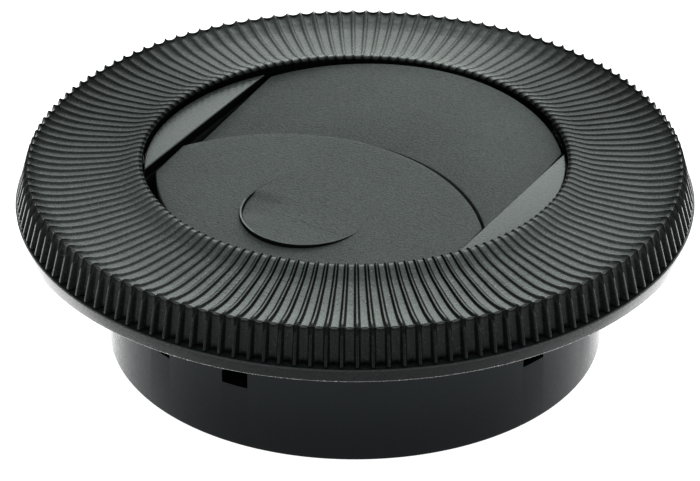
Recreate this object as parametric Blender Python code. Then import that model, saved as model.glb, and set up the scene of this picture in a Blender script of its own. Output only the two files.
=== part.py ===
"""Closable desk grommet: a flanged tube, a ribbed ring that turns on it, and a
centre with two ganged leaves that tilt to let a cable through.

Objects are in metres and the dimensions below in millimetres. The origin is the
centre of the tube's lower end, +Z is up, the front is towards -Y, and the leaves
tilt about lines parallel to X. The thumb pad is on the front leaf.
"""

import math

import bmesh
import bpy
from mathutils import Matrix, Vector

MM = 0.001

# ---- shared dimensions: radii are about Z unless noted ----------------------
GAP = 0.3                 # running clearance
CUT_OVER = 1.0            # how far a cutter reaches past what it cuts
SHARP_ANGLE = 35.0        # degrees; steeper edges are shaded sharp

TUBE_R = 39.75            # fits a round cut-out of 80
FLANGE_Z1 = 25.1          # top of the housing
CHORD_X = 27.7            # straight edge of the flat segments
WALL_T = 1.6
WALL_OUT_X = CHORD_X + WALL_T

PIVOT_Y, PIVOT_Z = 13.07, 26.2
ROD_R = 1.25
HOLE_R = ROD_R + GAP      # every hole a rod passes through

# ---- scene ------------------------------------------------------------------
for obj in list(bpy.data.objects):
    bpy.data.objects.remove(obj, do_unlink=True)

parts = bpy.data.collections.new("desk_grommet")
cutters = bpy.data.collections.new("cutters")
bpy.context.scene.collection.children.link(parts)
bpy.context.scene.collection.children.link(cutters)


# ---- materials --------------------------------------------------------------
def material(name, colour, roughness, metallic=0.0):
    mat = bpy.data.materials.new(name)
    mat.use_nodes = True
    shader = mat.node_tree.nodes["Principled BSDF"]
    shader.inputs["Base Color"].default_value = (*colour, 1.0)
    shader.inputs["Roughness"].default_value = roughness
    shader.inputs["Metallic"].default_value = metallic
    mat.diffuse_color = (*colour, 1.0)
    return mat


def cover_plastic(side):
    return material(side + "_cover_plastic", colour=(0.105, 0.120, 0.115), roughness=0.42)


def steel(name):
    return material(name, colour=(0.55, 0.55, 0.56), roughness=0.3, metallic=1.0)


def black_plastic(name):
    return material(name, colour=(0.030, 0.032, 0.034), roughness=0.5)


TUBE_MAT = material("housing_plastic", colour=(0.022, 0.025, 0.025), roughness=0.38)
RING_MAT = material("ring_plastic", colour=(0.050, 0.056, 0.054), roughness=0.48)
CARRIER_MAT = material("carrier_plastic", colour=(0.018, 0.020, 0.020), roughness=0.55)
FRONT_MAT = material("front_leaf_plastic", colour=(0.066, 0.076, 0.072), roughness=0.62)
REAR_MAT = material("rear_leaf_plastic", colour=(0.060, 0.069, 0.066), roughness=0.62)


# ---- objects ----------------------------------------------------------------
def mesh_object(name, bm, collection):
    """Turns a bmesh in millimetres into an object in metres."""
    bmesh.ops.scale(bm, vec=(MM, MM, MM), verts=bm.verts)
    bmesh.ops.recalc_face_normals(bm, faces=bm.faces)
    mesh = bpy.data.meshes.new(name)
    bm.to_mesh(mesh)
    bm.free()
    obj = bpy.data.objects.new(name, mesh)
    collection.objects.link(obj)
    return obj


def part(name, bm, mat, at=(0, 0, 0), tilt=0.0):
    """A visible piece with its origin at a point, tilted about X by degrees."""
    obj = mesh_object(name, bm, parts)
    obj.location = Vector(at) * MM
    obj.rotation_euler = (math.radians(tilt), 0.0, 0.0)
    obj.data.materials.append(mat)
    obj.data.shade_smooth()
    obj.data.set_sharp_from_angle(angle=math.radians(SHARP_ANGLE))
    return obj


def combine(piece, operation, name, bm):
    """Adds a boolean to a piece, with a hidden helper in the piece's own frame."""
    helper = mesh_object(name, bm, cutters)
    helper.location = piece.location
    helper.rotation_euler = piece.rotation_euler
    helper.hide_render = True
    helper.display_type = "WIRE"
    mod = piece.modifiers.new(operation.lower() + "_" + name, "BOOLEAN")
    mod.operation = operation
    mod.solver = "EXACT"
    mod.object = helper


# ---- shapes -----------------------------------------------------------------
def turned(angle):
    return Matrix.Rotation(math.radians(angle), 4, "Z")


def spun(profile, steps):
    """A closed (r, z) outline turned once about Z."""
    bm = bmesh.new()
    loop = [bm.verts.new((r, 0.0, z)) for r, z in profile]
    edges = [bm.edges.new(pair) for pair in zip(loop, loop[1:] + loop[:1])]
    bmesh.ops.spin(bm, geom=loop + edges, cent=(0, 0, 0), axis=(0, 0, 1),
                   angle=2 * math.pi, steps=steps, use_merge=True)
    bmesh.ops.remove_doubles(bm, verts=bm.verts, dist=1e-4)
    return bm


def add_extrusion(bm, points, push):
    """A flat face through the points, extruded along the vector push."""
    face = bm.faces.new([bm.verts.new(point) for point in points])
    moved = bmesh.ops.extrude_face_region(bm, geom=[face])["geom"]
    bmesh.ops.translate(bm, vec=push,
                        verts=[v for v in moved if isinstance(v, bmesh.types.BMVert)])


def prism(outline, low, high, matrix=Matrix.Identity(4)):
    """An (x, y) outline extruded from z = low to high, then transformed."""
    bm = bmesh.new()
    add_extrusion(bm, [(x, y, low) for x, y in outline], (0, 0, high - low))
    bmesh.ops.transform(bm, matrix=matrix, verts=bm.verts)
    return bm


def add_box(bm, low, high, matrix=Matrix.Identity(4)):
    """A box between two opposite corners, then transformed."""
    size = Matrix.Diagonal((*[h - l for l, h in zip(low, high)], 1.0))
    middle = Matrix.Translation([(h + l) / 2 for l, h in zip(low, high)])
    bmesh.ops.create_cube(bm, size=1.0, matrix=matrix @ middle @ size)
    return bm


def add_cylinder(bm, radius, x0, x1, y=0.0, z=0.0):
    """A cylinder along X."""
    where = Matrix.Translation(((x0 + x1) / 2, y, z)) @ Matrix.Rotation(math.pi / 2, 4, "Y")
    bmesh.ops.create_cone(bm, cap_ends=True, segments=24, radius1=radius,
                          radius2=radius, depth=x1 - x0, matrix=where)
    return bm


def cylinder(radius, x0, x1, y=0.0, z=0.0):
    return add_cylinder(bmesh.new(), radius, x0, x1, y, z)


def arc(centre_x, centre_y, radius, start, end, count):
    """Points on a circle; the angles are in radians."""
    return [(centre_x + radius * math.cos(start + (end - start) * i / count),
             centre_y + radius * math.sin(start + (end - start) * i / count))
            for i in range(count + 1)]


# ---- housing: tube, flange and catch rib, with eight windows ----------------
TUBE_BORE_R = TUBE_R - 2.0
TUBE_CHAMFER_R, TUBE_CHAMFER_Z = 0.4, 0.5
FLANGE_R = 53.9
FLANGE_Z0 = FLANGE_Z1 - 2.0
FLANGE_TOP_CHAMFER, FLANGE_UNDER_CHAMFER = 0.25, 0.2
CATCH_R = 36.7            # inner edge of the catch rib inside the tube
CATCH_Z0, CATCH_Z1 = 16.6, 18.0
CATCH_SLOPE_H = 1.2       # height of the slope below the rib
WINDOW_W, WINDOW_Z0, WINDOW_Z1 = 4.45, 10.8, 15.9
WINDOW_CUT_IN, WINDOW_CUT_OUT = 4.0, 3.0       # cutter reach past the tube wall
WINDOW_ANGLES = (250.2, 272.0, 343.5, 5.3)     # and the same half a turn on
HOUSING_STEPS = 96


def build_housing():
    profile = [
        (FLANGE_R - FLANGE_TOP_CHAMFER, FLANGE_Z1), (FLANGE_R, FLANGE_Z1 - FLANGE_TOP_CHAMFER),
        (FLANGE_R, FLANGE_Z0 + FLANGE_UNDER_CHAMFER),
        (FLANGE_R - FLANGE_UNDER_CHAMFER, FLANGE_Z0), (TUBE_R, FLANGE_Z0),
        (TUBE_R, TUBE_CHAMFER_Z), (TUBE_R - TUBE_CHAMFER_R, 0.0), (TUBE_BORE_R, 0.0),
        (TUBE_BORE_R, CATCH_Z0 - CATCH_SLOPE_H), (CATCH_R, CATCH_Z0), (CATCH_R, CATCH_Z1),
        (TUBE_BORE_R, CATCH_Z1), (TUBE_BORE_R, FLANGE_Z1)]
    housing = part("housing", spun(profile, HOUSING_STEPS), TUBE_MAT)
    windows = bmesh.new()
    for first in WINDOW_ANGLES:
        for angle in (first, first + 180.0):
            add_box(windows, (TUBE_BORE_R - WINDOW_CUT_IN, -WINDOW_W / 2, WINDOW_Z0),
                    (TUBE_R + WINDOW_CUT_OUT, WINDOW_W / 2, WINDOW_Z1), turned(angle))
    combine(housing, "DIFFERENCE", "cut_windows", windows)


# ---- ribbed ring ------------------------------------------------------------
RING_TOP_R, RING_TOP_Z = 52.0, 31.55
RING_FOOT_R, RING_FOOT_Z = 53.65, FLANGE_Z1 + GAP
RING_BORE_R = 33.7
RING_UNDER_Z = 28.8
RING_SKIRT_TOP_R, RING_SKIRT_FOOT_R = 50.0, 51.0   # inside of the skirt
# (r, z) across the ring's top, from the outer edge's inside to the bore
RING_TOP_PROFILE = [
    (49.9, 30.82), (47.6, 30.40), (44.0, 30.30), (40.6, 30.50), (37.6, 30.85),
    (35.4, 31.35), (34.2, 31.60), (RING_BORE_R, 31.35)]

RIB_COUNT = 144
RIB_PITCH = 360.0 / RIB_COUNT
# Depth of the valleys between ribs: inwards on the outside, down on the top
RIB_DEPTH, RIB_FOOT_DEPTH = 0.55, 1.35
RIB_EDGE_DROP, RIB_TOP_DROP, RIB_BORE_DROP = RIB_DEPTH * 0.7, RIB_DEPTH * 0.9, 0.18
# Limits that sort the ring's vertices
UPPER_Z = 30.0
OUTSIDE_R = RING_TOP_R - 0.1
BORE_LIP_R = RING_BORE_R + 0.8


def press_valley(vert):
    """Moves a vertex that lies in a valley; the underside and bore foot stay."""
    radius = math.hypot(vert.co.x, vert.co.y)
    upper = vert.co.z > UPPER_Z
    if radius > OUTSIDE_R:
        inward = (radius - (RIB_DEPTH if upper else RIB_FOOT_DEPTH)) / radius
        vert.co.x *= inward
        vert.co.y *= inward
        if upper:
            vert.co.z -= RIB_EDGE_DROP
    elif upper:
        vert.co.z -= RIB_TOP_DROP if radius > BORE_LIP_R else RIB_BORE_DROP


def build_ring():
    profile = ([(RING_FOOT_R, RING_FOOT_Z), (RING_TOP_R, RING_TOP_Z)] + RING_TOP_PROFILE
               + [(RING_BORE_R, RING_UNDER_Z), (RING_SKIRT_TOP_R, RING_UNDER_Z),
                  (RING_SKIRT_FOOT_R, RING_FOOT_Z)])
    # Two steps to a rib: one on the crest, one in the valley.
    bm = spun(profile, 2 * RIB_COUNT)
    for vert in bm.verts:
        turn = math.degrees(math.atan2(vert.co.y, vert.co.x)) % RIB_PITCH
        if 0.25 < turn / RIB_PITCH < 0.75:
            press_valley(vert)
    part("ribbed_ring", bm, RING_MAT)


# ---- leaf carrier: two arcs joined by two straight bearing walls ------------
CARRIER_R, CARRIER_WALL_R, CARRIER_IN_R = 37.35, 36.0, 33.2
CARRIER_TOP, CARRIER_LOW = 28.5, 22.0
LEDGE_R, LEDGE_Z0, LEDGE_Z1 = 34.2, 25.6, 27.0
CARRIER_STEPS = 96
KEEP_Y, KEEP_Z0, KEEP_Z1 = 60.0, 10.0, 40.0    # box that trims the arcs at the walls
WALL_Z0, WALL_Z1 = 21.6, 28.4
WALL_INSET = 0.002        # keeps the walls' outer faces off the trimmed faces
WALL_END_INSET = 0.25     # wall corners inside the carrier's outer radius
HOOK_ANGLES = (65.0, 115.0, 245.0, 295.0)
HOOK_W = 6.0
# (r, z) of a hook finger, barb outwards
HOOK_OUTLINE = [
    (34.9, 26.3), (34.9, 12.6), (36.3, 12.6), (37.2, 13.8), (37.2, 15.0),
    (36.3, 15.0), (36.3, 26.3)]


def hook_fingers():
    hooks = bmesh.new()
    for angle in HOOK_ANGLES:
        # The outline lies in the (r, z) plane and is pushed sideways.
        stand = turned(angle) @ Matrix.Rotation(math.pi / 2, 4, "X")
        add_extrusion(hooks, [stand @ Vector((r, z, -HOOK_W / 2)) for r, z in HOOK_OUTLINE],
                      stand.to_3x3() @ Vector((0, 0, HOOK_W)))
    return hooks


def build_carrier():
    carrier = part("leaf_carrier", spun([
        (LEDGE_R, CARRIER_TOP), (CARRIER_R, CARRIER_TOP), (CARRIER_R, CARRIER_LOW),
        (CARRIER_WALL_R, CARRIER_LOW), (CARRIER_WALL_R, LEDGE_Z0), (CARRIER_IN_R, LEDGE_Z0),
        (CARRIER_IN_R, LEDGE_Z1), (LEDGE_R, LEDGE_Z1)], CARRIER_STEPS), CARRIER_MAT)
    combine(carrier, "INTERSECT", "keep_between_pockets", add_box(
        bmesh.new(), (-WALL_OUT_X, -KEEP_Y, KEEP_Z0), (WALL_OUT_X, KEEP_Y, KEEP_Z1)))
    wall_y = math.sqrt((CARRIER_R - WALL_END_INSET) ** 2 - WALL_OUT_X ** 2)
    for sign, side in ((-1, "left"), (1, "right")):
        low, high = sorted((sign * CHORD_X, sign * (WALL_OUT_X - WALL_INSET)))
        combine(carrier, "UNION", side + "_bearing_wall", add_box(
            bmesh.new(), (low, -wall_y, WALL_Z0), (high, wall_y, WALL_Z1)))
    combine(carrier, "UNION", "hook_fingers", hook_fingers())
    bearings = bmesh.new()
    for pivot_y in (-PIVOT_Y, PIVOT_Y):
        for x0 in (-WALL_OUT_X, CHORD_X):
            add_cylinder(bearings, HOLE_R, x0 - CUT_OVER, x0 + WALL_T + CUT_OVER,
                         pivot_y, PIVOT_Z)
    combine(carrier, "DIFFERENCE", "cut_bearings", bearings)


# ---- flat segment covers, each with two snap tabs ---------------------------
COVER_R, COVER_Z0, COVER_Z1 = 33.35, 28.75, 30.45
TAB_X0, TAB_T, TAB_W = WALL_OUT_X + GAP, 1.1, 5.0
TAB_Y = 5.5               # middle of a tab, either side of the X axis
TAB_Z0, TAB_OVERLAP = 26.4, 0.6                # lower end, and reach into the cover


def build_cover(side, spin_by):
    half = math.acos(CHORD_X / COVER_R)
    plate = prism(arc(0, 0, COVER_R, -half, half, 24), COVER_Z0, COVER_Z1, spin_by)
    cover = part(side + "_cover", plate, cover_plastic(side))
    tabs = bmesh.new()
    for y in (-TAB_Y, TAB_Y):
        add_box(tabs, (TAB_X0, y - TAB_W / 2, TAB_Z0),
                (TAB_X0 + TAB_T, y + TAB_W / 2, COVER_Z0 + TAB_OVERLAP), spin_by)
    combine(cover, "UNION", side + "_cover_tabs", tabs)


# ---- leaves, each in its own level frame with its pivot at the origin -------
REST_TILT = 5.0
# The rear and front edges are arcs of (centre y, radius), the sides straight.
# The arcs centred a PIVOT_Y away are concentric with the tube when level.
FRONT_HALF_X, FRONT_REAR_ARC, FRONT_FRONT_ARC = 27.1, (-15.56, 34.2), (PIVOT_Y, 31.45)
REAR_HALF_X, REAR_REAR_ARC, REAR_FRONT_ARC = 26.95, (-PIVOT_Y, 33.25), (-36.7, 32.1)
LEAF_TOP, LEAF_T = 3.2, 1.8       # above the pivot axis, and thickness
KNUCKLE_R, END_KNUCKLE_L, MID_KNUCKLE_L = 2.3, 4.5, 6.0
ROD_CUT_X = 40.0
PAD_R, PAD_RISE, PAD_Y = 10.4, 0.95, -2.2
PAD_SINK = 0.01           # middle of the pad's top, below the leaf's top
PAD_ROOT = 1.2            # depth of the pad's base below the leaf's top
SCOOP_R, SCOOP_DEPTH, SCOOP_SHIFT_Y = 42.0, 0.40, -0.6
SCOOP_KEEP_H = 6.0        # height of sphere kept above the leaf's top


def edge(half_x, centre, radius, side):
    """An arc between the straight sides; side is 1 for the circle's rear, -1 for its front."""
    start = math.acos(half_x / radius)
    points = arc(0, centre, radius, start, math.pi - start, 40)
    return [(x, centre + side * (y - centre)) for x, y in points]


def leaf(name, rear_edge, front_edge, half_x, pivot_y, mat):
    plate = prism(rear_edge + front_edge[::-1], LEAF_TOP - LEAF_T, LEAF_TOP)
    obj = part(name, plate, mat, (0, pivot_y, PIVOT_Z), REST_TILT)
    knuckles = bmesh.new()
    for x0, x1 in ((-half_x, -half_x + END_KNUCKLE_L),
                   (-MID_KNUCKLE_L / 2, MID_KNUCKLE_L / 2),
                   (half_x - END_KNUCKLE_L, half_x)):
        add_cylinder(knuckles, KNUCKLE_R, x0, x1)
    combine(obj, "UNION", name + "_knuckles", knuckles)
    return obj


def thumb_pad():
    """A disc whose top slopes up towards the front."""
    pad = bmesh.new()
    bmesh.ops.create_cone(pad, cap_ends=True, segments=64, radius1=PAD_R, radius2=PAD_R,
                          depth=2.0, matrix=Matrix.Translation((0, PAD_Y, LEAF_TOP)))
    for vert in pad.verts:
        if vert.co.z > LEAF_TOP:
            vert.co.z = LEAF_TOP - PAD_SINK - PAD_RISE * (vert.co.y - PAD_Y) / PAD_R
        else:
            vert.co.z = LEAF_TOP - PAD_ROOT
    return pad


def scoop_cutter():
    """The lower cap of a large sphere, its poles along Y, closed with a flat top."""
    scoop = bmesh.new()
    centre = (0, PAD_Y + SCOOP_SHIFT_Y, LEAF_TOP + SCOOP_R - SCOOP_DEPTH)
    bmesh.ops.create_uvsphere(scoop, u_segments=160, v_segments=160, radius=SCOOP_R,
                              matrix=Matrix.Translation(centre)
                              @ Matrix.Rotation(math.pi / 2, 4, "X"))
    above = [v for v in scoop.verts if v.co.z > LEAF_TOP + SCOOP_KEEP_H]
    bmesh.ops.delete(scoop, geom=above, context="VERTS")
    bmesh.ops.holes_fill(scoop, edges=[e for e in scoop.edges if e.is_boundary])
    return scoop


def build_leaves():
    front = leaf("front_leaf", edge(FRONT_HALF_X, *FRONT_REAR_ARC, 1),
                 edge(FRONT_HALF_X, *FRONT_FRONT_ARC, -1), FRONT_HALF_X, -PIVOT_Y, FRONT_MAT)
    rear = leaf("rear_leaf", edge(REAR_HALF_X, *REAR_REAR_ARC, 1),
                edge(REAR_HALF_X, *REAR_FRONT_ARC, 1), REAR_HALF_X, PIVOT_Y, REAR_MAT)
    combine(front, "UNION", "thumb_pad", thumb_pad())
    combine(front, "DIFFERENCE", "cut_scoop", scoop_cutter())
    for obj, name in ((front, "front"), (rear, "rear")):
        combine(obj, "DIFFERENCE", "cut_" + name + "_rod",
                cylinder(HOLE_R, -ROD_CUT_X, ROD_CUT_X))


# ---- rods, clips, cranks and the link that gangs the leaves -----------------
CRANK_X0 = WALL_OUT_X + GAP
CRANK_X1 = CRANK_X0 + 1.0
CRANK_ARM, CRANK_END_R = 3.5, 2.2
CRANK_MID = 37.5          # the leaves' travel at which the cranks point straight down
CRANK_PIN_R, CRANK_PIN_ROOT, CRANK_PIN_X1 = 0.8, 0.3, 33.0
LINK_X0 = CRANK_X1 + GAP
LINK_X1 = LINK_X0 + 1.0
LINK_END_R, LINK_HOLE_R = 1.6, CRANK_PIN_R + GAP
ROD_X0, ROD_X1 = -31.2, CRANK_X1 - 0.1
ROD_CLIP_R, ROD_CLIP_X0, ROD_CLIP_X1 = 2.2, -30.4, -29.6
LINK_CLIP_R, LINK_CLIP_X0, LINK_CLIP_T = 1.75, LINK_X1 + GAP, 0.6

# The crank pin from its pivot, at rest
crank_turn = -CRANK_MID   # degrees from straight down
pin_y = CRANK_ARM * math.sin(math.radians(crank_turn))
pin_z = -CRANK_ARM * math.cos(math.radians(crank_turn))


def bar(name, length, end_r, x0, x1, at, lean, holes, hole_r, mat):
    """A round-ended bar in the YZ plane, turned by lean about X from +Y.

    The origin is the centre of its first end; holes are distances along it.
    """
    outline = (arc(0, 0, end_r, math.pi / 2, 3 * math.pi / 2, 12)
               + arc(length, 0, end_r, -math.pi / 2, math.pi / 2, 12))
    # Takes x, y, z to y, z, x.
    upright = Matrix(((0, 0, 1, 0), (1, 0, 0, 0), (0, 1, 0, 0), (0, 0, 0, 1)))
    lay = Matrix.Rotation(math.radians(lean), 4, "X") @ upright
    obj = part(name, prism(outline, x0, x1, lay), mat, at)
    cut = bmesh.new()
    for along in holes:
        spot = lay @ Vector((along, 0, 0))
        add_cylinder(cut, hole_r, x0 - CUT_OVER, x1 + CUT_OVER, spot.y, spot.z)
    combine(obj, "DIFFERENCE", "cut_" + name, cut)
    return obj


def washer(name, inner, outer, x0, x1, at, mat):
    obj = part(name, cylinder(outer, x0, x1), mat, at)
    combine(obj, "DIFFERENCE", "cut_" + name, cylinder(inner, x0 - CUT_OVER, x1 + CUT_OVER))


def build_rod_and_crank(name, pivot_y):
    at = (0, pivot_y, PIVOT_Z)
    part(name + "_rod", cylinder(ROD_R, ROD_X0, ROD_X1), steel(name + "_rod_steel"), at)
    washer(name + "_rod_clip", HOLE_R, ROD_CLIP_R, ROD_CLIP_X0, ROD_CLIP_X1, at,
           steel(name + "_clip_steel"))
    crank = bar(name + "_crank", length=CRANK_ARM, end_r=CRANK_END_R, x0=CRANK_X0, x1=CRANK_X1,
                at=at, lean=crank_turn - 90.0, holes=(0.0,), hole_r=HOLE_R,
                mat=black_plastic(name + "_crank_plastic"))
    combine(crank, "UNION", name + "_crank_pin", cylinder(
        CRANK_PIN_R, CRANK_X0 + CRANK_PIN_ROOT, CRANK_PIN_X1, pin_y, pin_z))
    washer(name + "_link_clip", LINK_HOLE_R, LINK_CLIP_R, LINK_CLIP_X0,
           LINK_CLIP_X0 + LINK_CLIP_T, (0, pivot_y + pin_y, PIVOT_Z + pin_z),
           steel(name + "_link_clip_steel"))


def build_link():
    length = 2 * PIVOT_Y
    bar("link_bar", length=length, end_r=LINK_END_R, x0=LINK_X0, x1=LINK_X1,
        at=(0, -PIVOT_Y + pin_y, PIVOT_Z + pin_z), lean=0.0, holes=(0.0, length),
        hole_r=LINK_HOLE_R, mat=black_plastic("link_plastic"))


# ---- assembly ---------------------------------------------------------------
build_housing()
build_ring()
build_carrier()
build_cover("left", turned(180.0))
build_cover("right", turned(0.0))
build_leaves()
build_rod_and_crank("front", -PIVOT_Y)
build_rod_and_crank("rear", PIVOT_Y)
build_link()
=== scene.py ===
"""A flanged tube with a fluted ring on top, holding two tilting leaves between two flat covers.

The tube stands upright on z = 0 with its axis on Z. The front is -Y and the right is +X.
Sizes are in millimetres and are scaled by MM when meshes are made; shader and light
distances are in metres.
"""

import math

import bmesh
import bpy
import numpy as np
from mathutils import Matrix, Vector


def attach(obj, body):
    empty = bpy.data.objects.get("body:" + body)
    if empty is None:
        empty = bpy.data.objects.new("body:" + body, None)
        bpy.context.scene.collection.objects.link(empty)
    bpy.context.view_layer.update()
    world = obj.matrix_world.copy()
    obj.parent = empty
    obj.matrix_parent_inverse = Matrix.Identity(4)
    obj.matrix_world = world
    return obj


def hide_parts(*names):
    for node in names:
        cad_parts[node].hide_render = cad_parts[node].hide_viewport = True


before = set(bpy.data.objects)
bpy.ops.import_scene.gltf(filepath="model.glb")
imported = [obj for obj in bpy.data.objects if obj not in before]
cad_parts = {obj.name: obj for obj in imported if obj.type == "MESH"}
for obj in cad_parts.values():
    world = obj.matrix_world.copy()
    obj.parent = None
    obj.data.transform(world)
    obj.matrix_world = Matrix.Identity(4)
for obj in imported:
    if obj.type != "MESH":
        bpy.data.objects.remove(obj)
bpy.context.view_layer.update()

MM = 0.001
scene = bpy.context.scene

# ---- sizes shared with the CAD ------------------------------------------------
TUBE_R, TUBE_BORE_R = 39.75, 37.75
FLANGE_R, FLANGE_Z0, FLANGE_Z1 = 53.9, 23.1, 25.1
CATCH_R, CATCH_Z0, CATCH_Z1 = 36.7, 16.6, 18.0
WINDOW_W, WINDOW_Z0, WINDOW_Z1 = 4.45, 10.8, 15.9
WINDOW_ANGLES = (250.2, 272.0, 343.5, 5.3)      # each has a second window opposite
RIB_COUNT = 144
RING_TOP = 31.55
RING_FOOT_Z, RING_FOOT_R = 25.4, 53.65
RING_BORE_R, RING_UNDER_Z = 33.7, 28.8
CHORD_X = 27.7                                  # straight edge of a cover
COVER_R, COVER_Z0, COVER_Z1 = 33.35, 28.75, 30.45
PIVOT_Y, PIVOT_Z, REST_TILT = 13.07, 26.2, 5.0
# leaf outlines about the pivot: half width, then (centre y, radius) of each edge's arc
FRONT_HALF_X, FRONT_REAR_ARC, FRONT_FRONT_ARC = 27.1, (-15.56, 34.2), (PIVOT_Y, 31.45)
REAR_HALF_X, REAR_REAR_ARC, REAR_FRONT_ARC = 26.95, (-PIVOT_Y, 33.25), (-36.7, 32.1)
LEAF_TOP, LEAF_T = 3.2, 1.8
LEAF_EDGE = 0.28                                # rounding of a leaf's upper edge
KNUCKLE_R, HOLE_R = 2.3, 1.55
PAD_R, PAD_Y = 10.4, -2.2                       # round pad on the front leaf


# ---- mesh helpers -------------------------------------------------------------
def shade(mesh, angle):
    """Smooth shading, with edges sharper than angle (degrees) kept crisp."""
    mesh.shade_smooth()
    mesh.set_sharp_from_angle(angle=math.radians(angle))


def add_object(name, mesh):
    obj = bpy.data.objects.new(name, mesh)
    scene.collection.objects.link(obj)
    return obj


def mesh_object(name, verts, faces):
    mesh = bpy.data.meshes.new(name)
    mesh.from_pydata([tuple(v) for v in np.asarray(verts, float) * MM], [], faces)
    mesh.update()
    return add_object(name, mesh)


def bm_object(name, bm, smooth=True):
    """An object from a bmesh in millimetres; frees the bmesh."""
    bmesh.ops.scale(bm, vec=(MM, MM, MM), verts=bm.verts)
    bmesh.ops.recalc_face_normals(bm, faces=bm.faces)
    mesh = bpy.data.meshes.new(name)
    bm.to_mesh(mesh)
    bm.free()
    obj = add_object(name, mesh)
    if smooth:
        shade(mesh, angle=40)
    return obj


def grid_faces(rows, cols, wrap_rows, wrap_cols):
    """Quads of a rows x cols grid of vertices, row by row."""
    faces = []
    for i in range(rows if wrap_rows else rows - 1):
        this_row, next_row = i * cols, ((i + 1) % rows) * cols
        for j in range(cols if wrap_cols else cols - 1):
            k = (j + 1) % cols
            faces.append((this_row + j, this_row + k, next_row + k, next_row + j))
    return faces


def fix_normals(obj):
    bm = bmesh.new()
    bm.from_mesh(obj.data)
    bmesh.ops.recalc_face_normals(bm, faces=bm.faces)
    bm.to_mesh(obj.data)
    bm.free()


def apply_modifier(obj, kind, **settings):
    modifier = obj.modifiers.new(kind.lower(), kind)
    for key, value in settings.items():
        setattr(modifier, key, value)
    bpy.context.view_layer.update()
    graph = bpy.context.evaluated_depsgraph_get()
    mesh = bpy.data.meshes.new_from_object(obj.evaluated_get(graph), depsgraph=graph)
    obj.modifiers.clear()
    obj.data = mesh


def cut(obj, cutter, operation="DIFFERENCE"):
    """A boolean of obj with the cutter, which is then removed."""
    apply_modifier(obj, "BOOLEAN", operation=operation, solver="EXACT", object=cutter)
    bpy.data.objects.remove(cutter, do_unlink=True)


def bevel(obj, width):
    apply_modifier(obj, "BEVEL", width=width * MM, segments=3,
                   limit_method="ANGLE", angle_limit=math.radians(40))
    shade(obj.data, angle=35)


def rounded(corners, steps=4):
    """A closed (r, z) outline from corners of (r, z, rounding), none rounded past 0.45 of a side."""
    points = np.array(corners, float)[:, :2]
    outline = []
    for i, corner in enumerate(points):
        to_last = points[i - 1] - corner
        to_next = points[(i + 1) % len(points)] - corner
        last_length, next_length = np.linalg.norm(to_last), np.linalg.norm(to_next)
        reach = min(corners[i][2], last_length * 0.45, next_length * 0.45)
        start = corner + to_last / last_length * reach
        end = corner + to_next / next_length * reach
        for k in range(steps + 1):
            s = k / steps
            outline.append((1 - s) ** 2 * start + 2 * s * (1 - s) * corner + s ** 2 * end)
    return np.array(outline)


def revolve(name, outline, steps):
    """A closed outline of (r, z), running down its outer side, turned about Z."""
    turn = np.arange(steps) / steps * 2 * math.pi
    r, z = outline[:, 0][None, :], outline[:, 1][None, :]
    verts = np.stack([r * np.cos(turn)[:, None], r * np.sin(turn)[:, None],
                      np.repeat(z, steps, 0)], -1).reshape(-1, 3)
    obj = mesh_object(name, verts, grid_faces(steps, len(outline), True, True))
    shade(obj.data, angle=35)
    fix_normals(obj)
    return obj


def turned(angle):
    return Matrix.Rotation(math.radians(angle), 4, "Z")


def add_box(bm, low, high, matrix):
    size = Matrix.Diagonal((*[h - l for l, h in zip(low, high)], 1.0))
    middle = Matrix.Translation([(h + l) / 2 for l, h in zip(low, high)])
    bmesh.ops.create_cube(bm, size=1.0, matrix=matrix @ middle @ size)


def add_cylinder(bm, radius, x0, x1):
    """A cylinder along the X axis."""
    place = Matrix.Translation(((x0 + x1) / 2, 0, 0)) @ Matrix.Rotation(math.pi / 2, 4, "Y")
    bmesh.ops.create_cone(bm, cap_ends=True, segments=48, radius1=radius,
                          radius2=radius, depth=x1 - x0, matrix=place)
    return bm


def prism(outline, low, high):
    bm = bmesh.new()
    face = bm.faces.new([bm.verts.new((x, y, low)) for x, y in outline])
    moved = bmesh.ops.extrude_face_region(bm, geom=[face])["geom"]
    bmesh.ops.translate(bm, vec=(0, 0, high - low),
                        verts=[v for v in moved if isinstance(v, bmesh.types.BMVert)])
    return bm


def arc(centre_y, radius, start, end, count):
    """Points of an arc centred on x = 0."""
    turns = [start + (end - start) * i / count for i in range(count + 1)]
    return [(radius * math.cos(turn), centre_y + radius * math.sin(turn)) for turn in turns]


def smoothstep(x):
    x = np.clip(x, 0.0, 1.0)
    return x * x * (3 - 2 * x)


def interpolate(x, table):
    """Straight lines through the rows (x, value) of a table."""
    stations, values = np.array(table).T
    return np.interp(x, stations, values)


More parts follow.
